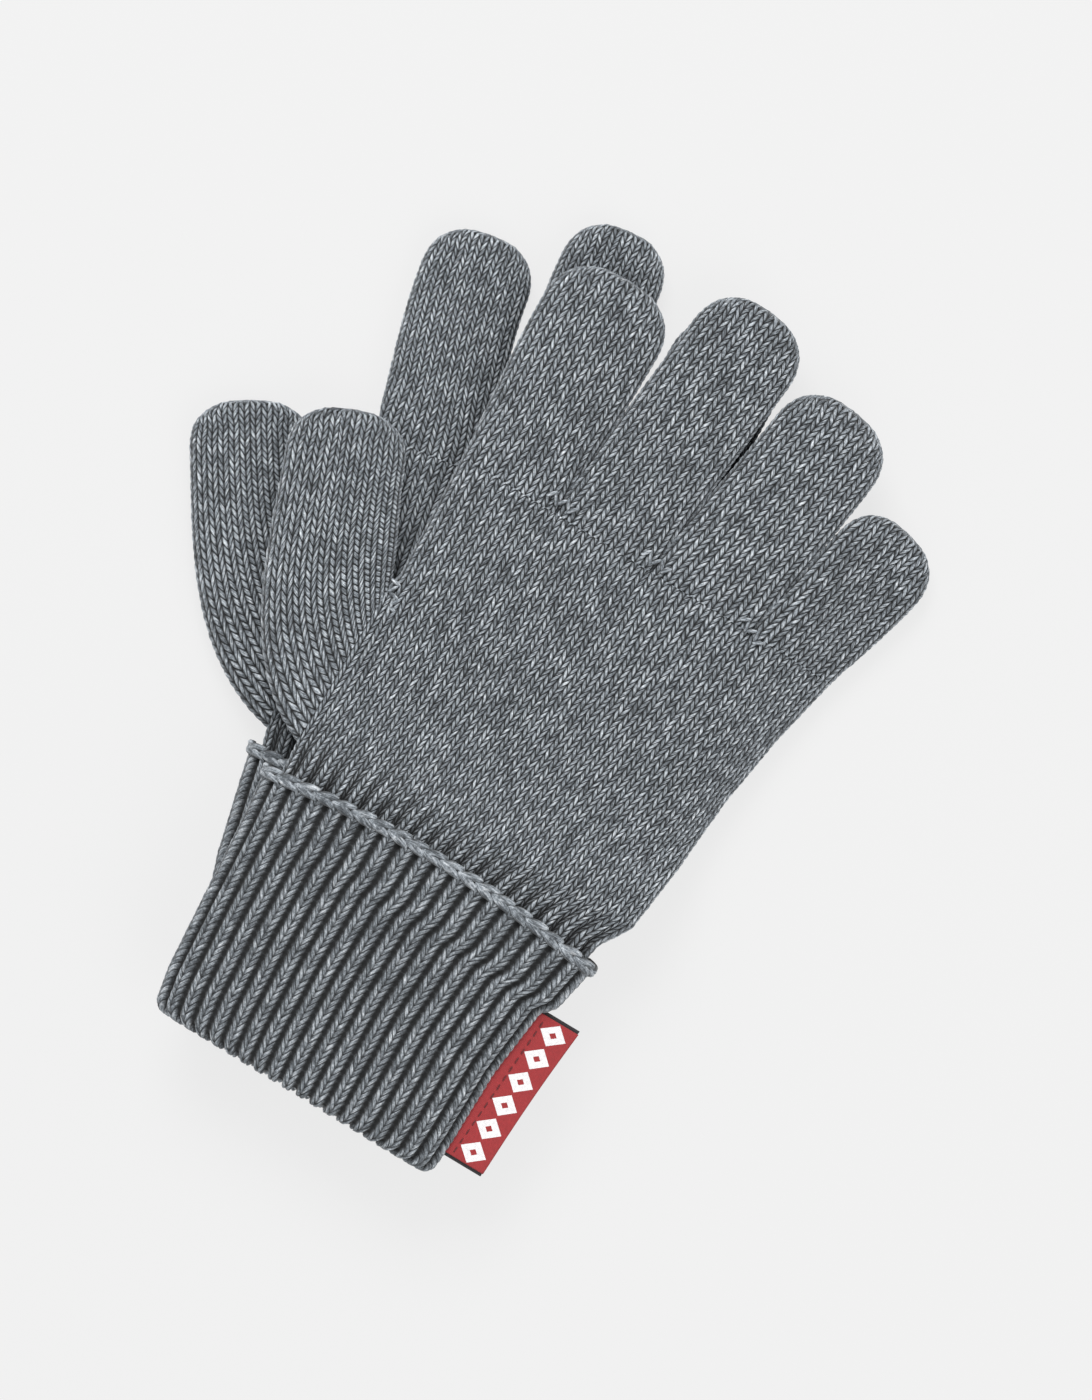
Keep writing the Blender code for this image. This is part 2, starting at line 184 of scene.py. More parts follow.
# what the upper glove rests on: the lower cuff, then the lower hand, then down to the table
def restingHeight(x, y):
    xLow, yLow = toLower(x, y)
    cuff = (2 * glovePlan["cuffHalf"] + glovePlan["stackGap"]) * (
        1.0 - ease((yLow - glovePlan["cuffFall"][0]) / glovePlan["cuffFall"][1]))
    hand = middleHeight(yLow) + handHalf(yLow) + glovePlan["stackGap"]
    start, length = glovePlan["handFall"]
    hand = hand * (1.0 - ease((outsideHand(xLow, yLow) - start) / length))
    return np.maximum(cuff, hand)


# plan arrays x, y and a rise above the fabric's middle, placed in the row frame
def place(side, x, y, rise):
    if side == "upper":
        z = restingHeight(x, y) + middleHeight(y) + rise
        px, py = x, y
    else:
        z = middleHeight(y) + rise
        px, py = fromLower(x, y)
    ox, oy, oz = glovePlan["planOrigin"]
    return np.stack((px + ox, py + oy, z + oz), axis=-1)


# a tube's fullness: 0 at its side, then a quarter of a superellipse up to 1 at edge and further in
def fullness(distance, edge):
    t = np.clip(distance / np.maximum(edge, 1e-9), 0.0, 1.0)
    return (1.0 - (1.0 - t) ** glovePlan["square"]) ** (1 / glovePlan["square"])


# distance from plan points to a run of straight segments, as the least over the segments
def distanceToRun(x, y, run):
    run = np.array(run)
    best = np.full(np.shape(x), 1.0)
    for a, b in zip(run[:-1], run[1:]):
        d = b - a
        t = np.clip(((x - a[0]) * d[0] + (y - a[1]) * d[1]) / (d @ d + 1e-12), 0.0, 1.0)
        best = np.minimum(best, np.hypot(x - a[0] - t * d[0], y - a[1] - t * d[1]))
    return best


def crotchPoints():
    return [digitPlan[name]["base"][1] for name in ("index", "middle", "ring")]


def handFullness(x, y):
    left = [(s[1], s[0]) for s in handSides]
    below = [(-hiddenEnd[0], hiddenEnd[1])] + [p for p in left if p[1] < thumbSeam[0][1]] + [thumbSeam[0]]
    above = [thumbSeam[1]] + [p for p in left if p[1] > thumbSeam[1][1]]
    right = [hiddenEnd] + [(s[2], s[0]) for s in handSides]
    d = np.minimum(distanceToRun(x, y, below), distanceToRun(x, y, above))
    d = np.minimum(d, distanceToRun(x, y, right))
    for crotch in crotchPoints():
        d = np.minimum(d, np.hypot(x - crotch[0], y - crotch[1]))
    return fullness(d, knit["edge"])


# for points[k, i] across each station, the share of the section's length that lies before each point
def lengthShare(points):
    steps = np.linalg.norm(np.diff(points, axis=1), axis=2)
    run = np.concatenate((np.zeros((len(points), 1)), np.cumsum(steps, axis=1)), axis=1)
    return run / np.maximum(run[:, -1:], 1e-12)


# the same sections, with points where the share of the length reaches marks[k, j]
def evenByLength(points, marks):
    run = lengthShare(points)
    out = np.empty((len(points), marks.shape[1], 3))
    for k in range(len(points)):
        for axis in range(3):
            out[k, :, axis] = np.interp(marks[k], run[k], points[k, :, axis])
    return out


# points across each station, closer together at both sides: a goes from 0 to 1 as half a cosine
def planSections(leftLine, rightLine, count=161):
    a = 0.5 - 0.5 * np.cos(np.linspace(0.0, math.pi, count))
    x = leftLine[:, :1] + (rightLine[:, :1] - leftLine[:, :1]) * a
    y = leftLine[:, 1:] + (rightLine[:, 1:] - leftLine[:, 1:]) * a
    return x, y, a


# a ring of points at each station: over the front from left to right, then back under it
def ringGrid(side, x, y, rise, marks):
    front = evenByLength(place(side, x, y, rise), marks)
    back = evenByLength(place(side, x, y, -rise)[:, ::-1], 1.0 - marks[:, ::-1])
    return front, back


def unit(vectors):
    return vectors / np.maximum(np.linalg.norm(vectors, axis=-1, keepdims=True), 1e-12)


# unit normals of a grid of points: the cross product of its two differences
def sheetNormals(grid):
    return unit(np.cross(np.gradient(grid, axis=1), np.gradient(grid, axis=0)))


# front and back joined into one periodic ring of points and of normals
def joinRing(front, back):
    nf, nb = sheetNormals(front), sheetNormals(back)
    points = np.concatenate((front, back[:, 1:]), axis=1)
    normals = np.concatenate((nf, nb[:, 1:]), axis=1)
    normals[:, front.shape[1] - 1] += nb[:, 0]
    closed = np.linalg.norm(front[:, 0] - back[:, -1], axis=1) < 1e-5
    both = nf[:, 0] + nb[:, -1]
    normals[closed, 0] = both[closed]
    normals[closed, -1] = both[closed]
    return points, unit(normals)


# points that lie on each other become one, which closes a tube's tip and the rows that end at its rim
def mergeDoubles(piece):
    work = bmesh.new()
    work.from_mesh(piece.data)
    bmesh.ops.remove_doubles(work, verts=work.verts[:], dist=0.000002)
    work.to_mesh(piece.data)
    work.free()


# values of grid[k, j] at fractional k and j, by straight interpolation
def sample(grid, k, j):
    k = np.clip(k, 0.0, grid.shape[0] - 1.000001)
    j = np.clip(j, 0.0, grid.shape[1] - 1.000001)
    k0, j0 = np.floor(k).astype(int), np.floor(j).astype(int)
    pastK, pastJ = (k - k0)[..., None], (j - j0)[..., None]
    return ((grid[k0, j0] * (1 - pastK) + grid[k0 + 1, j0] * pastK) * (1 - pastJ)
            + (grid[k0, j0 + 1] * (1 - pastK) + grid[k0 + 1, j0 + 1] * pastK) * pastJ)


# a repeatable random number from 0 to 1 for whole-number cells
def cellRandom(a, b, seed):
    value = np.sin(a * 12.9898 + b * 78.233 + seed * 37.719) * 43758.5453
    return value - np.floor(value)


rowSteps = (0.0, 0.17, 0.5, 0.83)


def rowLevels(rows, below, steps=rowSteps):
    levels = (np.arange(-math.ceil(below), rows + 1)[:, None] + np.array(steps)[None, :]).ravel()
    return levels[(levels >= -below - 1e-9) & (levels <= rows + 1e-9)]


# one leg of yarn in each half column: round across its thickness, and lower at both its ends. The same
# value also sets the painted shade, darker where the leg is low
def legShape(level, g, halfColumn, seed):
    leg = np.floor(level + 1e-6)
    w = level - leg
    vary = 1.0 + knit["uneven"] * (2 * cellRandom(leg, halfColumn, seed) - 1.0)
    bend = np.sin(math.pi * np.clip(g, 0.0, 1.0)).clip(0.0, 1.0)
    across = np.clip(1.0 - np.abs(2 * w - 1.0) ** knit["round"], 0.0, 1.0) ** (1 / knit["round"])
    touching = knit["touching"] * bend
    along = knit["ends"] + (1.0 - knit["ends"]) * np.sqrt(bend)
    return (touching + (1.0 - touching) * across) * along * vary


# a mesh from arrays, without the points that no face uses. The point values are painted shade, kept as a
# point attribute for the material, and uv is for the material too
def makeMesh(name, points, faces, loftAndPaintedShade, uv, material):
    used, where = np.unique(faces, return_inverse=True)
    faces = where.reshape(faces.shape)
    points, loftAndPaintedShade, uv = points[used], loftAndPaintedShade[used], uv[used]
    mesh = bpy.data.meshes.new(name)
    mesh.vertices.add(len(points))
    mesh.vertices.foreach_set("co", points.astype(np.float32).ravel())
    mesh.loops.add(faces.size)
    mesh.loops.foreach_set("vertex_index", faces.ravel().astype(np.int32))
    mesh.polygons.add(len(faces))
    mesh.polygons.foreach_set("loop_start", np.arange(0, faces.size, faces.shape[1], dtype=np.int32))
    mesh.polygons.foreach_set("use_smooth", np.ones(len(faces), bool))
    mesh.update(calc_edges=True)
    attribute = mesh.attributes.new("loftAndPaintedShade", "FLOAT", "POINT")
    attribute.data.foreach_set("value", loftAndPaintedShade.astype(np.float32))
    layer = mesh.uv_layers.new(name="stitches")
    layer.data.foreach_set("uv", uv[faces.ravel()].astype(np.float32).ravel())
    mesh.materials.append(material)
    made = bpy.data.objects.new(name, mesh)
    bpy.context.scene.collection.objects.link(made)
    return made


# a ring-shaped grid of points as a mesh, without the quads that lie flat at the first or the last row
def coverMesh(name, spots, v, rows, shade, uv, material, flipped=False):
    index = np.arange(v.size).reshape(v.shape)
    after = np.roll(index, -1, axis=1)
    quads = np.stack((index[:-1], after[:-1], after[1:], index[1:]), axis=-1).reshape(-1, 4)
    if flipped:
        quads = quads[:, (0, 3, 2, 1)]
    corner = v.ravel()[quads]
    flat = np.all(corner <= 1e-6, axis=1) | np.all(corner >= rows - 1e-6, axis=1)
    made = makeMesh(name, spots.reshape(-1, 3), quads[~flat], shade.ravel(), uv.reshape(-1, 2), material)
    mergeDoubles(made)
    return made


# a tube's base grid covered in columns of stitches. Columns sit at fractions phi of a stitch column, rows
# follow the legs: a row is at level + lean * |2 phi - 1|. The relief stands out along the normals.
def knitTube(name, points, normals, rows, face, material, seed, relief=None, firstColumn=0, parts=6,
             steps=rowSteps):
    around = 2 * face
    column = np.arange(around * parts) / parts
    level = rowLevels(rows, knit["lean"], steps)
    levelGrid, columnGrid = np.meshgrid(level, column, indexing="ij")
    phi = columnGrid - np.floor(columnGrid + 1e-9)
    g = np.abs(2 * phi - 1.0)
    v = np.clip(levelGrid + knit["lean"] * g, 0.0, rows)
    halfColumn = np.floor(2 * columnGrid + 1e-6)
    height = legShape(levelGrid, g, halfColumn, seed)
    k = v / rows * (points.shape[0] - 1)
    shift = np.zeros_like(v) if relief is None else relief["shift"](columnGrid, v)
    j = np.mod(columnGrid + shift, around) / around * (points.shape[1] - 1)
    base, normal = sample(points, k, j), unit(sample(normals, k, j))
    width = np.linalg.norm(sample(points, k, np.mod(j + 0.5, points.shape[1] - 1))
                           - sample(points, k, np.mod(j - 0.5, points.shape[1] - 1)), axis=2)
    fade = np.clip(width / np.median(width) * 3.0, 0.0, 1.0)
    lift = height * knit["loftAndPaintedShade"] * fade
    # painted shade: the legs' heights go to the material, so the colour darkens between the legs and at
    # their ends
    shade = height.copy()
    if relief is not None:
        lift, shade = relief["lift"](columnGrid, v, lift, shade)
    spots = base + normal * lift[..., None]
    uv = np.stack((2 * columnGrid + 2 * firstColumn, levelGrid + 50.0), axis=-1)
    return coverMesh(name, spots, v, rows, shade, uv, material)


yarnLook = {
    # the first colour here, near black, is painted shade for the gaps between legs and the ribs' recesses
    "paintedGapShade": (0.004, 0.0045, 0.005),
    "dark": (0.034, 0.038, 0.043),
    "middle": (0.179, 0.202, 0.225),
    "light": (0.465, 0.508, 0.550),
    "fleck": (0.84, 0.87, 0.90),
}


def addNode(tree, kind, **sockets):
    made = tree.nodes.new(kind)
    for key, value in sockets.items():
        made.inputs[key].default_value = value
    return made


def mathNode(tree, operation, first, second=None, clamp=False):
    made = tree.nodes.new("ShaderNodeMath")
    made.operation = operation
    made.use_clamp = clamp
    for i, value in enumerate((first, second)):
        if value is None:
            continue
        if isinstance(value, (int, float)):
            made.inputs[i].default_value = value
        else:
            tree.links.new(value, made.inputs[i])
    return made.outputs[0]


# a new material, its node tree and shader, and its two texture coordinates
def newMaterial(name):
    material = bpy.data.materials.new(name)
    material.use_nodes = True
    tree = material.node_tree
    uvNode = tree.nodes.new("ShaderNodeUVMap")
    uvNode.uv_map = "stitches"
    split = tree.nodes.new("ShaderNodeSeparateXYZ")
    tree.links.new(uvNode.outputs[0], split.inputs[0])
    return material, tree, tree.nodes["Principled BSDF"], split.outputs[0], split.outputs[1]


# heathered yarn: a tone for each leg, fibres that run along the leg, and painted shade down between the
# legs, blended in from the mesh's painted-shade point attribute
def yarnMaterial(name, brightness=1.0, fineness=1.0):
    material, tree, shader, u, v = newMaterial(name)

    cell = tree.nodes.new("ShaderNodeCombineXYZ")
    tree.links.new(mathNode(tree, "FLOOR", u), cell.inputs[0])
    tree.links.new(mathNode(tree, "FLOOR", v), cell.inputs[1])
    tone = tree.nodes.new("ShaderNodeTexWhiteNoise")
    tone.noise_dimensions = "2D"
    tree.links.new(cell.outputs[0], tone.inputs["Vector"])

    # fibres: long in u, fine in v, slanted a little by the yarn's twist
    fibreSpot = tree.nodes.new("ShaderNodeCombineXYZ")
    tree.links.new(mathNode(tree, "MULTIPLY", u, 1.3 * fineness), fibreSpot.inputs[0])
    twist = mathNode(tree, "MULTIPLY", u, 1.2 * fineness)
    slanted = mathNode(tree, "ADD", mathNode(tree, "MULTIPLY", v, 6.0 * fineness), twist)
    tree.links.new(slanted, fibreSpot.inputs[1])
    tree.links.new(mathNode(tree, "MULTIPLY", tone.outputs["Value"], 9.0), fibreSpot.inputs[2])
    fibres = addNode(tree, "ShaderNodeTexNoise", Scale=1.0, Detail=3.0, Roughness=0.62)
    tree.links.new(fibreSpot.outputs[0], fibres.inputs["Vector"])

    where = tree.nodes.new("ShaderNodeTexCoord")
    clouds = addNode(tree, "ShaderNodeTexNoise", Scale=330.0, Detail=2.0, Roughness=0.7)
    tree.links.new(where.outputs["Object"], clouds.inputs["Vector"])
    hairs = addNode(tree, "ShaderNodeTexNoise", Scale=1500.0, Detail=3.0, Roughness=0.7)
    tree.links.new(where.outputs["Object"], hairs.inputs["Vector"])

    loftAndPaintedShade = tree.nodes.new("ShaderNodeAttribute")
    loftAndPaintedShade.attribute_name = "loftAndPaintedShade"

    total = mathNode(tree, "MULTIPLY", fibres.outputs["Fac"], 1.25)
    for made, weight in ((tone, 0.18), (clouds, 0.40), (hairs, 0.80)):
        total = mathNode(tree, "ADD", total, mathNode(tree, "MULTIPLY", made.outputs[0], weight))
    total = mathNode(tree, "SUBTRACT", total, 0.77)
    ramp = tree.nodes.new("ShaderNodeValToRGB")
    stops = ((0.18, "dark"), (0.48, "middle"), (0.70, "light"), (0.92, "fleck"))
    ramp.color_ramp.elements[0].position = stops[0][0]
    ramp.color_ramp.elements[1].position = stops[-1][0]
    for position, _ in stops[1:-1]:
        ramp.color_ramp.elements.new(position)
    for element, (_, colourName) in zip(ramp.color_ramp.elements, stops):
        element.color = (*[c * brightness for c in yarnLook[colourName]], 1.0)
    tree.links.new(total, ramp.inputs[0])

    # painted shade: where the point attribute is low, between the legs, at their ends and in recesses, the
    # colour blends to the near-black painted shade colour
    paintedShadeRange = {"From Min": 0.28, "From Max": 0.94, "To Min": 0.01, "To Max": 1.0}
    gap = addNode(tree, "ShaderNodeMapRange", **paintedShadeRange)
    tree.links.new(loftAndPaintedShade.outputs["Fac"], gap.inputs["Value"])
    blend = tree.nodes.new("ShaderNodeMix")
    blend.data_type = "RGBA"
    blend.inputs["A"].default_value = (*yarnLook["paintedGapShade"], 1.0)
    tree.links.new(gap.outputs[0], blend.inputs["Factor"])
    tree.links.new(ramp.outputs[0], blend.inputs["B"])
    tree.links.new(blend.outputs["Result"], shader.inputs["Base Color"])

    bump = addNode(tree, "ShaderNodeBump", Strength=0.6, Distance=0.00016)
    tree.links.new(fibres.outputs["Fac"], bump.inputs["Height"])
    tree.links.new(bump.outputs[0], shader.inputs["Normal"])
    shader.inputs["Roughness"].default_value = 0.88
    shader.inputs["Sheen Weight"].default_value = 0.25
    shader.inputs["Sheen Roughness"].default_value = 0.5
    return material


handYarn = yarnMaterial("handYarn", brightness=1.06)
ribYarn = yarnMaterial("ribYarn", brightness=0.87)
chainYarn = yarnMaterial("chainYarn", brightness=0.88, fineness=2.6)
print("materials made")


def stationLines(sides, y):
    left, right = sidesAt(sides, y)
    return np.stack((left, y), axis=1), np.stack((right, y), axis=1)


handKnit = {
    "start": 0.060,  # where it comes out of the cuff
    "ribStart": 0.068,
    "ribEnd": 0.084,  # ribs fade out between these
    "ribDepth": 0.0011,
    "samplesPerColumn": 5,
    "stations": 0.001,  # distance between stations
    "sharesOver": (0.118, 0.040),  # where columns shift to the fingers' shares, and over what length
    "evenOver": 7,  # stations to both sides that columns are evened out over
}


# columns keep even widths up the hand, then shift so that each finger gets its own share at the knuckles
def handMarks(points, y, crotchX, x):
    face = knit["faceColumns"]
    count = face * handKnit["samplesPerColumn"] + 1
    even = np.linspace(0.0, 1.0, count)
    run = lengthShare(points)
    shares = np.cumsum([0] + [digitPlan[name]["share"] for name in fingers]) / face
    marks = np.empty((len(points), count))
    for k in range(len(points)):
        cuts = np.concatenate(([0.0], np.interp(crotchX, x[k], run[k]), [1.0]))
        own = np.interp(even, shares, cuts)
        weight = ease((y[k] - handKnit["sharesOver"][0]) / handKnit["sharesOver"][1])
        marks[k] = even * (1 - weight) + own * weight
    # the columns' places across the hand are evened out along it, so no row jumps where the thumb joins
    wide = x[:, -1:] - x[:, :1]
    across = np.array([np.interp(marks[k], run[k], x[k]) for k in range(len(points))])
    share = (across - x[:, :1]) / wide
    reach = handKnit["evenOver"]
    for _ in range(2):
        first, last = np.repeat(share[:1], reach, axis=0), np.repeat(share[-1:], reach, axis=0)
        padded = np.concatenate((first, share, last))
        share = sum(padded[n : n + len(share)] for n in range(2 * reach + 1)) / (2 * reach + 1)
    across = x[:, :1] + share * wide
    return np.array([np.interp(across[k], x[k], run[k]) for k in range(len(points))])


def makeHand(side):
    y = np.arange(handKnit["start"], glovePlan["knuckles"] + 1e-9, handKnit["stations"])
    leftLine, rightLine = stationLines(handSides, y)
    x, yy, _ = planSections(leftLine, rightLine, 261)
    rise = (handHalf(yy) - glovePlan["yarnRoom"]) * handFullness(x, yy)
    crotchX = [p[0] for p in crotchPoints()]
    marks = handMarks(place(side, x, yy, rise), y, crotchX, x)
    front, back = ringGrid(side, x, yy, rise, marks)
    points, normals = joinRing(front, back)
    rows = round((glovePlan["knuckles"] - handKnit["start"]) / knit["course"])

    def ribness(v):
        yHere = handKnit["start"] + v / rows * (glovePlan["knuckles"] - handKnit["start"])
        return 1.0 - ease((yHere - handKnit["ribStart"]) / (handKnit["ribEnd"] - handKnit["ribStart"]))

    def shift(column, v):
        return 0.15 * ribness(v) * (1.0 - np.cos(math.pi * column))

    def lift(column, v, lift, shade):
        part = np.clip(np.mod(column, 2.0) - 0.75, 0.0, 1.5) / 0.75
        groove = (0.5 - 0.5 * np.cos(math.pi * part)) ** 0.8
        amount = ribness(v)
        # the grooves sink, and painted shade darkens their colour
        return (lift * (1.0 - 0.5 * groove * amount) - handKnit["ribDepth"] * groove * amount,
                shade * (1.0 - 0.75 * groove * amount))

    return knitTube(f"{side}HandKnit", points, normals, rows, knit["faceColumns"], handYarn, 1,
                    {"shift": shift, "lift": lift})


digitKnit = {
    "handle": 0.36,  # length of a side curve's handles, as a share of its chord
    "sideSteps": 60,
    "tipSteps": 26,
    "thinning": 0.75,  # the tip gets thinner as its width to this power
    "evenAfter": 0.020,  # length over which the digit's own columns grow to full width
    "samplesPerColumn": 6,
}


def heading(degrees):
    return np.array((math.sin(math.radians(degrees)), math.cos(math.radians(degrees))))


# a cubic curve between two plan points with a heading at each, for an array of t
def sideCurve(start, setsOff, end, arrives, t):
    start, end = np.array(start), np.array(end)
    handle = digitKnit["handle"] * np.linalg.norm(end - start)
    first, second = start + handle * heading(setsOff), end - handle * heading(arrives)
    t = t[:, None]
    return (1 - t) ** 3 * start + 3 * (1 - t) ** 2 * t * first + 3 * (1 - t) * t**2 * second + t**3 * end


# left and right line of a digit: its two side curves, then a blunt tip that narrows as a superellipse
def digitLines(digit):
    onward = heading(digit["arrives"])
    across = np.array((onward[1], -onward[0]))
    centre, half = np.array(digit["shoulder"]), digit["width"] / 2
    t = np.linspace(0.0, 1.0, digitKnit["sideSteps"])
    left = sideCurve(digit["base"][0], digit["setsOff"][0], centre - across * half, digit["arrives"], t)
    right = sideCurve(digit["base"][1], digit["setsOff"][1], centre + across * half, digit["arrives"], t)
    turn = np.linspace(0.0, math.pi / 2, digitKnit["tipSteps"])[1:]
    square = glovePlan["square"]
    narrow = np.clip(1.0 - np.sin(turn) ** square, 0.0, 1.0) ** (1 / square)
    narrow[-1] = 0.0
    middle = centre + np.outer(np.sin(turn) * digit["tip"], onward)
    left = np.concatenate((left, middle - np.outer(narrow, across) * half))
    right = np.concatenate((right, middle + np.outer(narrow, across) * half))
    taper = np.concatenate((np.ones(len(t)), narrow ** digitKnit["thinning"]))
    run = np.concatenate(([0.0], np.cumsum(np.linalg.norm(np.diff((left + right) / 2, axis=0), axis=1))))
    stations = np.linspace(0.0, run[-1], max(30, int(run[-1] / 0.001)))
    pick = lambda line: np.stack([np.interp(stations, run, line[:, i]) for i in (0, 1)], axis=1)
    return pick(left), pick(right), np.interp(stations, run, taper), stations


# where the tip narrows, the columns keep their widths and run out at the rim, not together at a point
def straightTip(marks, narrow):
    reach = (2 * marks - 1.0) / narrow
    held = reach / (1.0 + np.abs(reach) ** 5) ** 0.2 * (1.0 + narrow**5) ** 0.2
    weight = ease((1.0 - narrow) / 0.22)
    return marks * (1.0 - weight) + np.clip(0.5 + 0.5 * held, 0.0, 1.0) * weight


def makeDigit(side, name):
    digit = digits[side][name]
    leftLine, rightLine, taper, stations = digitLines(digit)
    x, y, a = planSections(leftLine, rightLine, 121)
    width = np.linalg.norm(rightLine - leftLine, axis=1)[:, None]
    d = np.minimum(a, 1.0 - a)[None, :] * width
    edge = np.minimum(knit["edge"], width * 0.5)
    rise = (glovePlan["handHalf"] - glovePlan["yarnRoom"]) * fullness(d, edge) * taper[:, None]
    face = digit["face"]
    even = np.linspace(0.0, 1.0, face * digitKnit["samplesPerColumn"] + 1)
    extra = (face - digit["share"]) / 2 / face if digit["share"] else 0.0
    squeezed = np.clip((even - extra) / (1.0 - 2 * extra), 0.0, 1.0)
    grow = ease(stations / digitKnit["evenAfter"])[:, None]
    marks = squeezed[None, :] * (1.0 - grow) + even[None, :] * grow
    narrow = np.maximum(taper ** (1 / digitKnit["thinning"]), 0.06)
    marks = straightTip(marks, narrow[:, None])
    front, back = ringGrid(side, x, y, rise, marks)
    points, normals = joinRing(front, back)
    rows = round(stations[-1] / (knit["course"] * (glovePlan["lowerReach"] if side == "lower" else 1.0)))
    made = knitTube(f"{side}{name.capitalize()}Knit", points, normals, rows, face, handYarn,
                    2 + len(name), firstColumn=7 * len(name))
    return made, points


cuffKnit = {
    "ribs": 39,  # ribs around
    "knitShare": 0.71,  # part of a rib's pitch that its raised column takes
    "crown": 0.00125,  # how far a rib stands out
    "room": 0.0011,  # how far the fabric's base lies inside the cuff's surface
    "sink": 0.0007,  # and how much deeper the sunk columns start
    "edge": 0.016,  # how far in from its side the cuff is full
    "stations": 0.001,  # distance between stations
    "marks": 196,  # points across front and back, five for each rib and one more
    "columnSteps": (0.0, 0.07, 0.16, 0.26, 0.355, 0.45, 0.55, 0.64, 0.71, 0.81, 0.90),
}


# the cast-off edge bows: the upper one stands higher in the middle than at its sides, and the lower one
# curls up at its thumb side
def edgeBow(side, x, y):
    t = np.clip(x / 0.049, -1.05, 1.05)
    bow = 0.0020 - 0.0040 * t**2 if side == "upper" else 0.0008 + 0.0014 * np.clip(-t, 0.0, 1.0) ** 3
    return bow * ease((y - 0.030) / 0.036)


# the label side's edge dips in above the label and flares out past it, and less so further in
def labelSideDip(y, a):
    smooth = np.interp(y, (0.0, 0.010, 0.030, 0.072), (0.0410, 0.0415, 0.0415, 0.0495))
    return (sidesAt(cuffSides["upper"], y)[1] - smooth) * (a**6 - a)


# the turned-up layer from its cast-off edge down, round the fold and back up inside the mouth
def makeCuff(side):
    fold = glovePlan["layers"] / 2
    top = glovePlan["turnUp"] + 0.0006
    turn = np.linspace(0.0, math.pi, 12)
    step = cuffKnit["stations"]
    outer = np.arange(top, fold, -step)
    inner = np.arange(fold + step, 0.058, step)
    y = np.concatenate((outer, fold - fold * np.sin(turn), inner))
    folded = fold * (1 - np.cos(turn))
    inset = np.concatenate((np.zeros(len(outer)), folded, np.full(len(inner), 2 * fold)))
    run = np.concatenate(([0.0], np.cumsum(np.hypot(np.diff(y), np.diff(inset)))))
    left, right = sidesAt(cuffSides[side], y)
    relief = cuffKnit["room"]
    left, right = left + inset + relief, right - inset - relief
    half = glovePlan["cuffHalf"] - inset - relief
    leftLine, rightLine = np.stack((left, y), axis=1), np.stack((right, y), axis=1)
    x, yy, a = planSections(leftLine, rightLine, 201)
    if side == "upper":
        x = x + labelSideDip(yy, a[None, :])
    d = np.minimum(a, 1.0 - a)[None, :] * (right - left)[:, None]
    rise = half[:, None] * fullness(d, np.maximum(cuffKnit["edge"] - inset, 0.008)[:, None])
    marks = np.repeat(np.linspace(0.0, 1.0, cuffKnit["marks"])[None, :], len(y), axis=0)
    outside = 1.0 - np.clip(inset / fold, 0.0, 1.0)[:, None]
    front, back = ringGrid(side, x, yy + outside * edgeBow(side, x, yy), rise, marks)
    # stations run towards the wearer's arm, so the ring turns the other way and the normals are flipped
    points, normals = joinRing(front, back)
    normals = -normals
    allRows = run[-1] / knit["course"]
    outerRows = round((len(outer) * step + fold * math.pi + 0.012) / knit["course"])
    pieces = []
    for pieceName, fromRow, toRow, steps, columnSteps in (
        ("TurnUpRibs", 0, outerRows, rowSteps, cuffKnit["columnSteps"]),
        ("MouthRibs", outerRows, math.floor(allRows), (0.0, 0.5), (0.0, 0.17, 0.355, 0.54, 0.71, 0.85)),
    ):
        pieces.append(ribbedPiece(f"{side}{pieceName}", points, normals, run, fromRow, toRow, steps,
                                  columnSteps))
    return pieces


# ribs as columns of stitches: a crowned column of two legs, then a sunk column with small cross bumps
def ribbedPiece(name, points, normals, run, fromRow, toRow, steps, columnSteps):
    ribs, share = cuffKnit["ribs"], cuffKnit["knitShare"]
    rows = toRow - fromRow
    column = (np.arange(ribs)[:, None] + np.array(columnSteps)[None, :]).ravel()
    level = rowLevels(rows, knit["lean"], steps)
    levelGrid, columnGrid = np.meshgrid(level, column, indexing="ij")
    part = columnGrid - np.floor(columnGrid + 1e-9)
    phi = np.clip(part / share, 0.0, 1.0)
    g = np.abs(2 * phi - 1.0)
    # the rows run downwards here, so the legs meet lower down where the level is higher
    v = np.clip(levelGrid + knit["lean"] * (1.0 - g), 0.0, rows)
    length = (v + fromRow) * knit["course"]
    k = np.interp(length, run, np.arange(len(run)))
    j = columnGrid / ribs * (points.shape[1] - 1)
    base, normal = sample(points, k, j), unit(sample(normals, k, j))
    halfColumn = np.floor(columnGrid) * 3 + (phi > 0.5 - 1e-6) + (part > share)
    legs = legShape(levelGrid, g, halfColumn, 5)
    sunk = np.clip((part - share) / (1.0 - share), 0.0, 1.0)
    inKnit = part < share + 1e-6
    crown = np.where(inKnit, 0.25 + 0.75 * np.sin(math.pi * phi) ** 0.55, 0.0)
    purl = np.sin(math.pi * sunk) * np.sin(math.pi * (v - np.floor(v)))
    cross = np.where(inKnit, 0.0, 0.00020 * purl)
    lift = crown * cuffKnit["crown"] + np.where(inKnit, legs * knit["loftAndPaintedShade"] * 0.95, 0.0) + cross
    # painted shade: darker at the raised column's edges and between its legs, darker still in the sunk
    # column, and a little lighter on its cross bumps
    shade = np.where(inKnit, 0.24 + 0.76 * legs * (0.66 + 0.34 * crown), 0.17 + 0.15 * purl)
    spots = base + normal * (lift - cuffKnit["sink"])[..., None]
    u = halfColumn + np.where(inKnit, np.mod(2 * phi, 1.0), sunk) * 0.98 + 0.01
    uv = np.stack((u, levelGrid + 80.0), axis=-1)
    return coverMesh(name, spots, v, rows, shade, uv, ribYarn, flipped=True)


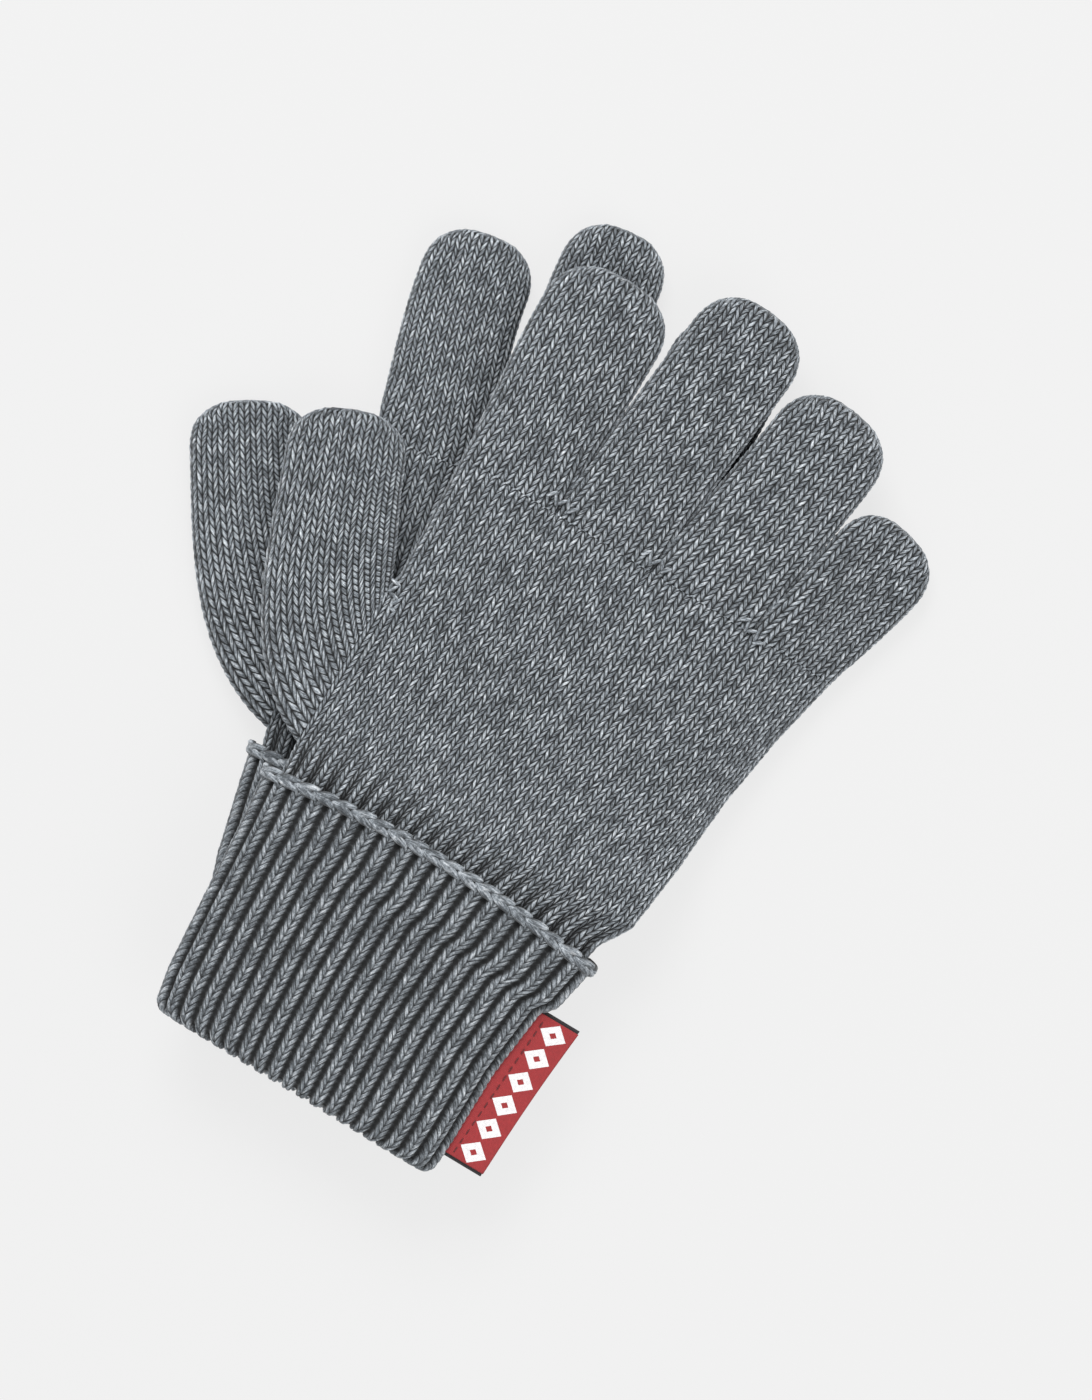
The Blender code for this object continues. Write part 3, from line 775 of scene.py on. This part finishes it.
# tubes of yarn along paths[strand, step], thinning to a point at both ends. up is what faces outwards, and
# the girth swells twice around, turning along the tube, so the yarn looks twisted from two plies
def strandMesh(name, paths, up, radius, around, material, ply=0.0):
    strands, steps = paths.shape[:2]
    tangent = unit(np.gradient(paths, axis=1))
    side = unit(np.cross(tangent, up))
    over = np.cross(side, tangent)
    theta = np.arange(around) / around * 2 * math.pi
    t = np.linspace(-1.0, 1.0, steps)
    girth = radius * np.clip(1.0 - np.abs(t) ** 5, 0.0, 1.0)[:, None] ** 0.5
    girth = girth * (1.0 + ply * np.cos(2 * theta[None, :] + 4.2 * t[:, None]))
    rings = paths[:, :, None] + girth[None, :, :, None] * (
        side[:, :, None] * np.cos(theta)[:, None] + over[:, :, None] * np.sin(theta)[:, None])
    count = (steps - 2) * around
    index = np.arange(count).reshape(steps - 2, around)
    after = np.roll(index, -1, axis=1)
    body = np.stack((index[:-1], index[1:], after[1:], after[:-1]), axis=-1).reshape(-1, 4).tolist()
    start = np.stack((np.full(around, count), index[0], after[0]), axis=-1).tolist()
    end = np.stack((np.full(around, count + 1), after[-1], index[-1]), axis=-1).tolist()
    own = body + start + end
    sleeve = rings[:, 1:-1].reshape(strands, count, 3)
    points = np.concatenate((sleeve, paths[:, :1], paths[:, -1:]), axis=1)
    faces = [[v + n * (count + 2) for v in face] for n in range(strands) for face in own]
    mesh = bpy.data.meshes.new(name)
    mesh.from_pydata(points.reshape(-1, 3).tolist(), [], faces)
    mesh.polygons.foreach_set("use_smooth", np.ones(len(faces), bool))
    # painted shade: each strand is lighter on its outward side, darker underneath and in the grooves
    # between its plies, and dark at its two end points
    plyPaintedShade = 1.0 + 2.0 * ply * np.cos(2 * theta[None, :] + 4.2 * t[1:-1, None])
    shade = (0.10 + 0.85 * np.clip(0.25 + 0.75 * np.sin(theta), 0.0, 1.0)[None, :] * plyPaintedShade)
    shade = np.broadcast_to(shade, (strands, steps - 2, around)).reshape(strands, count)
    loftAndPaintedShade = np.concatenate((shade, np.full((strands, 2), 0.15)), axis=1).ravel()
    mesh.attributes.new("loftAndPaintedShade", "FLOAT", "POINT").data.foreach_set("value", loftAndPaintedShade.astype(np.float32))
    u = np.broadcast_to(np.linspace(0.05, 0.95, steps)[None, 1:-1, None], (strands, steps - 2, around))
    v = np.broadcast_to(theta / 6.5, u.shape) + 2.0 * np.arange(strands)[:, None, None]
    ends = np.stack((np.broadcast_to((0.05, 0.95), (strands, 2)),
                     np.broadcast_to(2.0 * np.arange(strands)[:, None] + 0.5, (strands, 2))), axis=-1)
    uv = np.stack((u.reshape(strands, count), v.reshape(strands, count)), axis=-1)
    uv = np.concatenate((uv, ends), axis=1).reshape(-1, 2)
    corner = np.empty(len(mesh.loops), dtype=np.int32)
    mesh.loops.foreach_get("vertex_index", corner)
    mesh.uv_layers.new(name="stitches").data.foreach_set("uv", uv[corner].astype(np.float32).ravel())
    mesh.materials.append(material)
    made = bpy.data.objects.new(name, mesh)
    bpy.context.scene.collection.objects.link(made)
    return made


chainEdge = {
    "reach": 1.28,  # length of a link, in links' pitches
    "half": 0.00125,  # how far its legs spread to each side
    "yarn": 0.00098,
    "around": 10,
    "steps": 15,
    "ply": 0.16,
    "room": 0.0012,  # how far the chain's middle line lies inside the cuff's surface
    "stations": 0.004,
}


# the cast-off edge is a column of stitches lying along the edge: each link has two legs of yarn that
# start together and spread apart, and the next link comes up between their ends
def makeChain(side):
    links = cuffKnit["ribs"]
    edgeY, apart = glovePlan["turnUp"] + 0.0013, chainEdge["stations"]
    y = np.array([edgeY - apart, edgeY, edgeY + apart])
    left, right = sidesAt(cuffSides[side], y)
    room = chainEdge["room"]
    leftLine, rightLine = np.stack((left + room, y), axis=1), np.stack((right - room, y), axis=1)
    x, yy, a = planSections(leftLine, rightLine, 201)
    d = np.minimum(a, 1.0 - a)[None, :] * (right - left - 2 * room)[:, None]
    rise = (glovePlan["cuffHalf"] - room) * fullness(d, cuffKnit["edge"])
    marks = np.repeat(np.linspace(0.0, 1.0, cuffKnit["marks"])[None, :], 3, axis=0)
    front, back = ringGrid(side, x, yy + edgeBow(side, x, yy), rise, marks)
    points, normals = joinRing(front, back)
    leg = np.arange(2 * links)[:, None]
    link, sign = leg // 2, 2.0 * (leg % 2) - 1.0
    t = np.linspace(0.0, 1.0, chainEdge["steps"])[None, :]
    vary = cellRandom(leg * 1.0, 3.0, 2) - 0.5
    along = link + chainEdge["reach"] * t + 0.12 * vary
    aside = sign * chainEdge["half"] * (-0.25 + 1.35 * t**0.8) * (1.0 + 0.3 * vary)
    out = 0.0002 + 0.0011 * np.sin(math.pi * t**0.85) ** 0.8
    station = 1.0 + aside / apart
    j = np.mod(along, links) / links * (points.shape[1] - 1)
    centre, normal = sample(points, station, j), unit(sample(normals, station, j))
    centre = centre + normal * out[..., None]
    centre[..., 2] = np.maximum(centre[..., 2], chainEdge["yarn"] * 1.15)
    return strandMesh(f"{side}CastOffChain", centre, normal, chainEdge["yarn"], chainEdge["around"],
                      chainYarn, chainEdge["ply"])


def rideOrReplace(piece, body, nodes):
    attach(piece, body)
    if nodes:
        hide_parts(*nodes)


for side in ("lower", "upper"):
    handPiece = makeHand(side)
    rideOrReplace(handPiece, f"{side}_hand", [f"{side}_hand"])
    print(side, "hand knitted", len(handPiece.data.polygons))
    cuffPieces = makeCuff(side)
    rideOrReplace(cuffPieces[0], f"{side}_hand", [f"{side}_ribbed_cuff"])
    rideOrReplace(cuffPieces[1], f"{side}_hand", [])
    print(side, "cuff ribbed", [len(piece.data.polygons) for piece in cuffPieces])
    rideOrReplace(makeChain(side), f"{side}_hand", [f"{side}_cast_off_chain"])
    for name in digitPlan:
        piece, basePoints = makeDigit(side, name)
        # the direction square to the digit's base line, pointing along the digit, is worked out here, but
        # nothing uses it and the digit is not bent
        ring, ringOn = basePoints[0], basePoints[14]
        across = ring[len(ring) // 2] - ring[0]
        onward = np.array((-across[1], across[0], 0.0)) / np.hypot(across[0], across[1])
        middle = ring.mean(axis=0)
        onward *= np.sign(onward @ (ringOn.mean(axis=0) - middle))
        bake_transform(piece)
        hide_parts(f"{side}_{name}")
    print(side, "digits knitted")


darnPlan = {
    "strands": 5, "yarn": 0.00048, "length": 0.0032, "pitch": 0.0017, "steps": 11, "around": 8, "ply": 0.12}


# a few short slanted strands side by side, drawn across the bottom of a crotch
def makeDarn(name, middle, turn):
    t = np.linspace(0.0, 1.0, darnPlan["steps"])[None, :]
    strand = np.arange(darnPlan["strands"])[:, None] - (darnPlan["strands"] - 1) / 2
    lean = np.where(np.mod(strand, 2.0) < 0.5, 38.0, -30.0) * math.pi / 180
    across = strand * darnPlan["pitch"] + darnPlan["length"] * (t - 0.5) * np.sin(lean)
    along = darnPlan["length"] * (t - 0.5) * np.cos(lean) + 0.0004 * np.sin(2.3 * strand)
    c, s = math.cos(math.radians(turn)), math.sin(math.radians(turn))
    x = middle[0] + c * across + s * along
    y = middle[1] - s * across + c * along
    half = glovePlan["handHalf"] - glovePlan["yarnRoom"]
    rise = half * fullness(np.abs(x - middle[0]) + 0.0012, knit["edge"])
    rise = rise + 0.0004 + 0.0005 * np.sin(math.pi * t)
    up = np.broadcast_to((0.0, 0.0, 1.0), (*x.shape, 3))
    return strandMesh(f"{name}Darn", place("upper", x, y, rise), up, darnPlan["yarn"],
                      darnPlan["around"], handYarn, darnPlan["ply"])


for name, middle, turn in (
    ("thumb", (thumbSeam[1][0] + 0.0022, thumbSeam[1][1] - 0.0005), 62.0),
    ("index", (crotchPoints()[0][0], 0.1634), 2.0),
    ("middle", (crotchPoints()[1][0], 0.1630), 4.0),
    ("ring", (crotchPoints()[2][0], 0.1606), 24.0),
):
    rideOrReplace(makeDarn(name, middle, turn), "upper_hand", [f"upper_{name}_crotch_darn"])
print("darns sewn")

labelPlan = {
    "low": 0.0065,
    "high": 0.0495,
    "sewnIn": -0.0030,  # where it leaves the cuff, out from the cuff's edge
    "reach": 0.0110,
    "face": 0.0005,
    "backing": 0.0004,
    "backingOver": 0.0009,  # how far the backing shows beyond the face at both ends
    "gap": 0.0002,  # half the gap between face and backing
    "columns": 30,
    "rows": 110,
    "seamOut": 0.0016,  # where the running stitches lie, out from the cuff's edge
    "seamYarn": 0.00016,
    "stitches": 15,
}
labelLevel = 3 * glovePlan["cuffHalf"] + glovePlan["stackGap"]


# x of the cuff's edge behind the label: a straight line between its two ends
def labelEdge(y):
    ends = sidesAt(cuffSides["upper"], np.array([labelPlan["low"], labelPlan["high"]]))[1]
    return ends[0] + (ends[1] - ends[0]) * (y - labelPlan["low"]) / (labelPlan["high"] - labelPlan["low"])


# the label droops with the square of u, and waves a little along v
def labelSag(u, v):
    return -0.0016 * u**2 + 0.0004 * np.sin(5.2 * v + 0.6) * u


# a closed slab of cloth along the cuff's edge: u runs outwards and v along it
def labelSlab(name, over, bottom, top, material, reach):
    columns, rows = labelPlan["columns"], labelPlan["rows"]
    u, v = np.meshgrid(np.linspace(0.0, 1.0, columns + 1), np.linspace(0.0, 1.0, rows + 1))
    y = labelPlan["low"] - over + (labelPlan["high"] - labelPlan["low"] + 2 * over) * v
    bowed = 0.0004 * np.sin(math.pi * v) * u
    x = labelEdge(y) + labelPlan["sewnIn"] + (reach - labelPlan["sewnIn"]) * u - bowed
    level = labelLevel + labelSag(u, v)
    ox, oy, oz = glovePlan["planOrigin"]
    upper = np.stack((x + ox, y + oy, level + top + oz), axis=-1)
    lower = np.stack((x + ox, y + oy, level + bottom + oz), axis=-1)
    count = (rows + 1) * (columns + 1)
    index = np.arange(count).reshape(rows + 1, columns + 1)
    faceUp = np.stack((index[:-1, :-1], index[:-1, 1:], index[1:, 1:], index[1:, :-1]), axis=-1)
    faceUp = faceUp.reshape(-1, 4)
    rim = np.concatenate((index[0, :-1], index[:-1, -1], index[-1, :0:-1], index[:0:-1, 0]))
    after = np.roll(rim, -1)
    walls = np.stack((rim, rim + count, after + count, after), axis=-1)
    faces = np.concatenate((faceUp, faceUp[:, ::-1] + count, walls))
    points = np.concatenate((upper.reshape(-1, 3), lower.reshape(-1, 3)))
    uv = np.tile(np.stack((u.ravel(), v.ravel()), axis=-1), (2, 1))
    return makeMesh(name, points, faces, np.ones(len(points)), uv, material)


# woven cloth: fine crossing threads in the tone and the bump, and for the face a row of white diamonds
def wovenMaterial(name, colour, threads, motif=None):
    material, tree, shader, u, v = newMaterial(name)
    warp = mathNode(tree, "SINE", mathNode(tree, "MULTIPLY", u, threads[0] * 2 * math.pi))
    slant = mathNode(tree, "ADD", mathNode(tree, "MULTIPLY", v, threads[1] * 2 * math.pi),
                     mathNode(tree, "MULTIPLY", u, threads[0] * math.pi))
    weave = mathNode(tree, "ADD", mathNode(tree, "MULTIPLY", warp, 0.5), mathNode(tree, "SINE", slant))
    speck = addNode(tree, "ShaderNodeTexNoise", Scale=1600.0, Detail=2.0)
    where = tree.nodes.new("ShaderNodeTexCoord")
    tree.links.new(where.outputs["Object"], speck.inputs["Vector"])
    tone = mathNode(tree, "ADD", mathNode(tree, "MULTIPLY", weave, 0.10),
                    mathNode(tree, "MULTIPLY", speck.outputs["Fac"], 0.5))
    tone = mathNode(tree, "ADD", tone, 0.75)
    cloth = tree.nodes.new("ShaderNodeMix")
    cloth.data_type = "RGBA"
    cloth.inputs["A"].default_value = (*colour, 1.0)
    cloth.inputs["Factor"].default_value = 0.0
    if motif:
        along = mathNode(tree, "FRACT", mathNode(tree, "MULTIPLY", v, motif["count"]))
        away = mathNode(tree, "ABSOLUTE", mathNode(tree, "SUBTRACT", along, 0.5))
        aside = mathNode(tree, "ABSOLUTE", mathNode(tree, "SUBTRACT", u, motif["middle"]))
        diamond = mathNode(tree, "ADD", mathNode(tree, "DIVIDE", away, motif["long"]),
                           mathNode(tree, "DIVIDE", aside, motif["wide"]))
        inside = mathNode(tree, "LESS_THAN", diamond, 1.0)
        heart = mathNode(tree, "GREATER_THAN", diamond, motif["heart"])
        tree.links.new(mathNode(tree, "MULTIPLY", inside, heart), cloth.inputs["Factor"])
        cloth.inputs["B"].default_value = (*motif["colour"], 1.0)
    shaded = tree.nodes.new("ShaderNodeVectorMath")
    shaded.operation = "SCALE"
    tree.links.new(cloth.outputs["Result"], shaded.inputs[0])
    tree.links.new(tone, shaded.inputs["Scale"])
    tree.links.new(shaded.outputs[0], shader.inputs["Base Color"])
    bump = addNode(tree, "ShaderNodeBump", Strength=0.35, Distance=0.00008)
    tree.links.new(weave, bump.inputs["Height"])
    tree.links.new(bump.outputs[0], shader.inputs["Normal"])
    shader.inputs["Roughness"].default_value = 0.62
    shader.inputs["Sheen Weight"].default_value = 0.15
    return material


labelRed = wovenMaterial("labelRed", (0.330, 0.020, 0.023), (34, 130), {
    "count": 6, "middle": 0.63, "long": 0.44, "wide": 0.27, "heart": 0.30, "colour": (0.86, 0.84, 0.85)})
labelDark = wovenMaterial("labelDark", (0.022, 0.020, 0.022), (34, 130))
seamThread = wovenMaterial("seamThread", (0.125, 0.008, 0.011), (8, 8))


# short running stitches along the label, just out from the cuff's edge
def makeSeam():
    stitches, steps = labelPlan["stitches"], 9
    start = np.arange(stitches)[:, None] / stitches
    t = np.linspace(0.0, 1.0, steps)[None, :]
    v = 0.02 + 0.96 * (start + t * 0.68 / stitches)
    y = labelPlan["low"] + (labelPlan["high"] - labelPlan["low"]) * v
    x = labelEdge(y) + labelPlan["seamOut"]
    faceTop = labelPlan["gap"] + labelPlan["face"]
    level = labelLevel + faceTop + labelSag(0.19, v) + 0.00012 * (np.sin(math.pi * t) - 0.6)
    ox, oy, oz = glovePlan["planOrigin"]
    paths = np.stack((x + ox, y + oy, level + oz), axis=-1)
    up = np.broadcast_to((0.0, 0.0, 1.0), paths.shape)
    return strandMesh("labelSeam", paths, up, labelPlan["seamYarn"], 6, seamThread)


gap = labelPlan["gap"]
labelFace = labelSlab("labelFace", 0.0, gap, gap + labelPlan["face"], labelRed, labelPlan["reach"])
labelBacking = labelSlab("labelBacking", labelPlan["backingOver"], -gap - labelPlan["backing"], -gap,
                         labelDark, labelPlan["reach"] - gap)
labelSeam = makeSeam()
for piece, node, slotName in (
    (labelFace, "label_face", "label_red"),
    (labelBacking, "label_backing", "label_dark"),
    (labelSeam, "label_seam", "label_red"),
):
    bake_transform(piece)
    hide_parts(node)
print("label sewn on")

studio = {
    "viewCentre": (0.0028, 0.1181),
    "fieldHigh": 0.359,
    "roll": 31.5,
    "floorColour": (0.10, 0.10, 0.10),
    "floorGlow": 0.757,
    "floorLevel": -0.0006,
}


def makeStudio():
    scene = bpy.context.scene
    floorMesh = bpy.data.meshes.new("floor")
    corners = [(x, y, studio["floorLevel"]) for x, y in ((-3, -3), (3, -3), (3, 3), (-3, 3))]
    floorMesh.from_pydata(corners, [], [(0, 1, 2, 3)])
    floor = bpy.data.objects.new("floor", floorMesh)
    scene.collection.objects.link(floor)
    paper = bpy.data.materials.new("paper")
    paper.use_nodes = True
    shader = paper.node_tree.nodes["Principled BSDF"]
    shader.inputs["Base Color"].default_value = (*studio["floorColour"], 1.0)
    shader.inputs["Roughness"].default_value = 1.0
    shader.inputs["Specular IOR Level"].default_value = 0.0
    shader.inputs["Emission Color"].default_value = (1.0, 1.0, 1.0, 1.0)
    shader.inputs["Emission Strength"].default_value = studio["floorGlow"]
    floorMesh.materials.append(paper)

    world = bpy.data.worlds.new("studio")
    scene.world = world
    world.use_nodes = True
    world.node_tree.nodes["Background"].inputs[0].default_value = (1.0, 1.0, 1.0, 1.0)
    world.node_tree.nodes["Background"].inputs[1].default_value = 0.55

    for lampName, spot, size, power in (
        ("keyLight", (-0.7, 0.9, 1.3), 0.9, 22.0),
        ("fillLight", (1.0, -0.4, 1.2), 1.2, 9.0),
    ):
        lamp = bpy.data.lights.new(lampName, "AREA")
        lamp.size = size
        lamp.energy = power
        holder = bpy.data.objects.new(lampName, lamp)
        holder.location = spot
        aim = np.array((0.0, 0.0, 0.01)) - np.array(spot)
        pitch = math.atan2(math.hypot(aim[0], aim[1]), -aim[2])
        holder.rotation_euler = (pitch, 0.0, math.atan2(aim[1], aim[0]) - math.pi / 2)
        scene.collection.objects.link(holder)

    camera = bpy.data.cameras.new("camera")
    distance = 1.5
    camera.sensor_fit = "VERTICAL"
    camera.sensor_height = 24.0
    camera.lens = 24.0 * distance / studio["fieldHigh"]
    holder = bpy.data.objects.new("camera", camera)
    ox, oy, _ = glovePlan["planOrigin"]
    holder.location = (studio["viewCentre"][0] + ox, studio["viewCentre"][1] + oy, distance + 0.015)
    holder.rotation_euler = (0.0, 0.0, math.radians(studio["roll"]))
    scene.collection.objects.link(holder)
    scene.camera = holder
    scene.view_settings.view_transform = "Standard"


makeStudio()
